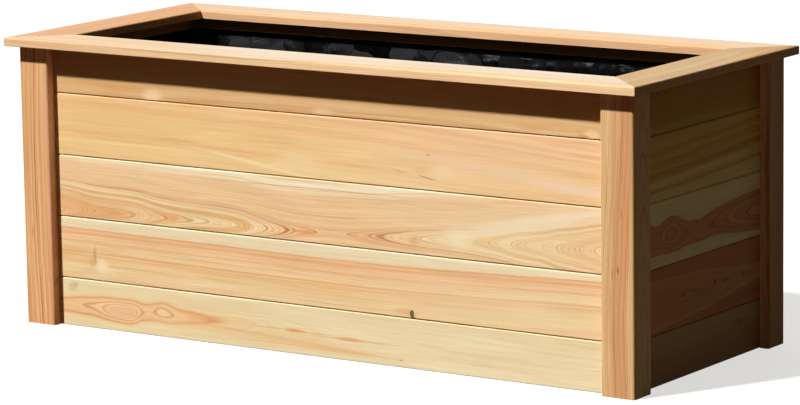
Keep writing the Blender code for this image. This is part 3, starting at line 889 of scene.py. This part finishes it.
# Under the battens the film comes free and its pleats open; near the floor they close. All
# but the sizes of foot, billow and creases are millimetres.
FREE_OVER, OPEN_OVER, PLEATS_END, BILLOW_OVER = 15, 26, 60, 60
FOOT = 0.08
ON_FLOOR, ON_WALL = 0.4, 0.5
PLEAT_SHARE = 0.7
BILLOW, BILLOW_SIZE = 3.0, 0.16
CREASES = ((0.7, 0.045, 2.0), (0.3, 0.02, 7.0))


def stand_in(spot, outward):
    """How far the film stands in from the tub's flat faces, in metres."""
    drop = (held_above - spot.z) * 1000
    loose = smooth(drop / FREE_OVER)
    if outward.z < -0.7:
        flat = ON_FLOOR
    else:
        if abs(outward.y) > abs(outward.x):
            wall, at = ("back" if outward.y > 0 else "front"), spot.x * 1000
        else:
            wall, at = ("right" if outward.x > 0 else "left"), spot.y * 1000
        foot = smooth((spot.z - film_bottom) / FOOT)
        opened = smooth(drop / OPEN_OVER) * foot * PLEAT_SHARE
        flat = pleated(wall, at, min(drop, PLEATS_END)) * opened + ON_WALL
        if wall == "back":
            flat += folded(at, drop)
    billow = noise.noise(spot / BILLOW_SIZE + Vector((5, 1, 3))) + 0.5
    billow *= BILLOW * smooth(drop / BILLOW_OVER)
    crumple = sum(deep * ridge(spot, size, seed) for deep, size, seed in CREASES)
    return max(0.0, loose * (flat + max(billow, 0.0) + crumple)) / 1000


def film_patch(shape, corner, right, up, right_steps, up_steps, crowded=True):
    """A grid from a corner; its rows crowd towards the top edge where the folds are fine."""
    rows = []
    for row in range(up_steps + 1):
        share = row / up_steps
        rise = 1 - (0.25 * (1 - share) + 0.75 * (1 - share) ** 2) if crowded else share
        rows.append([shape.verts.new(corner + right * (column / right_steps) + up * rise)
                     for column in range(right_steps + 1)])
    for lower, upper in zip(rows, rows[1:]):
        for column in range(right_steps):
            shape.faces.new((lower[column], lower[column + 1], upper[column + 1], upper[column]))


def solid(name, shape):
    """A mesh object from a bmesh, which is freed."""
    mesh = bpy.data.meshes.new(name)
    shape.to_mesh(mesh)
    shape.free()
    return placed(name, mesh)


long_way = Vector((2 * half_long, 0, 0))
wide_way = Vector((0, 2 * half_wide, 0))
high_way = Vector((0, 0, hang))
front_left = Vector((-half_long, -half_wide, film_bottom))
back_right = Vector((half_long, half_wide, film_bottom))
shape = bmesh.new()
film_patch(shape, front_left, long_way, wide_way, ALONG_STEPS, ACROSS_STEPS, crowded=False)
film_patch(shape, front_left + long_way, -long_way, high_way, ALONG_STEPS, DOWN_STEPS)
film_patch(shape, back_right - long_way, long_way, high_way, ALONG_STEPS, DOWN_STEPS)
film_patch(shape, front_left, wide_way, high_way, ACROSS_STEPS, DOWN_STEPS)
film_patch(shape, back_right, -wide_way, high_way, ACROSS_STEPS, DOWN_STEPS)
bmesh.ops.remove_doubles(shape, verts=shape.verts, dist=0.00005)
for vert in shape.verts:
    core = Vector((
        min(max(vert.co.x, FILM_BEND - half_long), half_long - FILM_BEND),
        min(max(vert.co.y, FILM_BEND - half_wide), half_wide - FILM_BEND),
        max(vert.co.z, film_bottom + FILM_BEND),
    ))
    outward = (vert.co - core).normalized()
    spot = core + outward * FILM_BEND
    vert.co = spot - outward * stand_in(spot, outward)
film = solid("film_liner", shape)
film.data.shade_smooth()
skin = film.modifiers.new("film", "SOLIDIFY")
skin.thickness = FILM
skin.offset = 0


def fine_noise(tree, size, detail, roughness=0.5):
    """Smooth noise over a piece, of a size in metres."""
    spot = add(tree, "ShaderNodeTexCoord").outputs["Object"]
    return cloud(vectors("MULTIPLY", spot, (1 / size,) * 3), detail, roughness)


# Flat facets between creases. Near the top edge on the left the black film is painted grey facet by facet,
# a painted sheen; elsewhere it is darker.
FACETS = (28, 28, 15)
FACET_TILT = 0.014
WAVERING = (0.4, 0.4, 0.4)
FILM_SHEEN = 0.022
CREASE_STRENGTH = 0.9
SHEEN_UNTIL, DARK_FROM = -0.12, 0.16
SHEEN_DOWN_TO, SHEEN_DOWN_FROM = 0.09, 0.055
LEFT_CRINKLE, RIGHT_CRINKLE = 0.0024, 0.0004
material, tree, shader = new_material("black_film")
spot = add(tree, "ShaderNodeTexCoord").outputs["Object"]
wavering = named(add(tree, "ShaderNodeTexNoise"), vector=spot, scale=30).outputs["Color"]
bent = vectors("MULTIPLY_ADD", spot, FACETS, vectors("MULTIPLY", wavering, WAVERING))
facet = named(add(tree, "ShaderNodeTexVoronoi", feature="F1"), vector=bent, scale=1.0).outputs
place_on = add(tree, "ShaderNodeSeparateXYZ", spot).outputs
panel = add(tree, "ShaderNodeSeparateColor", facet["Color"]).outputs[0]
left_share = ranged(place_on[0], SHEEN_UNTIL, DARK_FROM, 1.0, 0.08)
near_edge = ranged(place_on[2], film_top - SHEEN_DOWN_TO, film_top - SHEEN_DOWN_FROM, 0.12, 1.0)
painted_sheen = times(times(left_share, near_edge), ranged(panel, 0.1, 0.9))
haze = ranged(fine_noise(tree, 0.07, 3), 0.3, 0.7, 0.0, 0.1)
from_centre = vectors("SUBTRACT", bent, facet["Position"])
slope = vectors("SUBTRACT", facet["Color"], (0.5, 0.5, 0.5))
tilted = times(vectors("DOT_PRODUCT", from_centre, slope), FACET_TILT)
crinkle = maths("ABSOLUTE", minus(fine_noise(tree, 0.012, 3, 0.6), 0.5))
crinkle = times(crinkle, ranged(left_share, 0.0, 1.0, RIGHT_CRINKLE, LEFT_CRINKLE))
# Base colour: black, with the painted sheen laid on in grey.
named(shader, base_color=blend(painted_sheen, linear("#040405"), linear("#27272A")),
      roughness=plus(ranged(left_share, 0.0, 1.0, 0.28, 0.3), haze), specular_ior_level=FILM_SHEEN,
      normal=relief(plus(crinkle, tilted), CREASE_STRENGTH, 1.0))
film.data.materials.append(material)

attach(film, "root")
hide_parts("foil_liner")

# ----------------------------------------
# Fixings: small flat pins hold the battens to the walls, and stainless pan-head screws
# with a cross recess hold the floor bearers.
PIN = [(0.0012, 0.0), (0.0012, 0.0003), (0.0009, 0.0005), (0.0004, 0.0006)]
SCREW = [(0.0039, 0.0), (0.0039, 0.0007), (0.0036, 0.0013), (0.0030, 0.0019), (0.0020, 0.0023),
         (0.0009, 0.0024)]
RECESS = (0.0044, 0.0011, 0.0026)
SEAT = 0.0001
PINS = {"front": 9, "back": 9, "left": 4, "right": 4}
PIN_FROM_END = 0.025
SCREWS = 5
SCREW_REACH = 0.4

steel, tree, shader = new_material("stainless_steel")
turning_marks = fine_noise(tree, 0.0012, 2)
named(shader, base_color=blend(turning_marks, linear("#57544F"), linear("#7A7670")), metallic=1.0,
      roughness=ranged(turning_marks, 0.3, 0.7, 0.28, 0.45))


def turned_head(name, profile, sides):
    """A head turned from a profile of (radius, height), facing up."""
    shape = bmesh.new()
    rings = []
    for radius, height in profile:
        turns = [math.tau * step / sides for step in range(sides)]
        rings.append([shape.verts.new((radius * math.cos(t), radius * math.sin(t), height)) for t in turns])
    for lower, upper in zip(rings, rings[1:]):
        for step in range(sides):
            following = (step + 1) % sides
            shape.faces.new((lower[step], lower[following], upper[following], upper[step]))
    shape.faces.new(rings[-1])
    shape.faces.new(list(reversed(rings[0])))
    return solid(name, shape)


def taken(thing):
    """The mesh of an object as its modifiers leave it; the object is removed."""
    bpy.context.view_layer.update()
    mesh = bpy.data.meshes.new_from_object(thing.evaluated_get(bpy.context.evaluated_depsgraph_get()))
    bpy.data.objects.remove(thing)
    return mesh


pin_head = taken(turned_head("pin_head", PIN, 14))
screw = turned_head("screw_head", SCREW, 28)
cutters = []
for turn in (0.0, math.pi / 2):
    shape = bmesh.new()
    bmesh.ops.create_cube(shape, size=1.0)
    bmesh.ops.scale(shape, vec=RECESS, verts=shape.verts)
    cutters.append(solid("recess", shape))
    cutters[-1].location.z = SCREW[-1][1]
    cutters[-1].rotation_euler.z = turn
    cut = screw.modifiers.new("recess", "BOOLEAN")
    cut.operation = "DIFFERENCE"
    cut.object = cutters[-1]
screw_head = taken(screw)
for cutter in cutters:
    bpy.data.objects.remove(cutter)


def fixed_row(name, head, start, end, count, facing_way):
    """A row of heads as one piece, from a start to an end, each one turned at random."""
    shape = bmesh.new()
    for step in range(count):
        turned = facing_way.to_track_quat("Z", "X") @ Quaternion((0, 0, 1), drawn.uniform(0, math.pi))
        single = head.copy()
        there = Matrix.Translation(start.lerp(end, step / (count - 1)))
        single.transform(there @ turned.to_matrix().to_4x4())
        shape.from_mesh(single)
        bpy.data.meshes.remove(single)
    row = solid(name, shape)
    row.data.materials.append(steel)
    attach(row, "root")


def inner_face(name, into):
    """The middle of a piece's face towards the inside of the box, and half the piece's size."""
    low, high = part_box(name)
    half_size = (high - low) / 2
    return (low + high) / 2 + into * (abs(into.dot(half_size)) + SEAT), half_size


for side, (grain, sideways) in RIM_WAYS.items():
    into = Vector(sideways)
    along = Vector(grain)
    face, half_size = inner_face("rim_batten_" + side, into)
    reach = along * (abs(along.dot(half_size)) - PIN_FROM_END)
    fixed_row("batten_pins_" + side, pin_head, face - reach, face + reach, PINS[side], into)
for side, into in (("front", Vector((0, 1, 0))), ("back", Vector((0, -1, 0)))):
    face, half_size = inner_face("floor_bearer_" + side, into)
    reach = Vector((SCREW_REACH, 0, 0))
    fixed_row("bearer_screws_" + side, screw_head, face - reach, face + reach, SCREWS, into)

# ----------------------------------------
# Size of the dressed part: the bounds of everything drawn but the floor.
low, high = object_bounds()
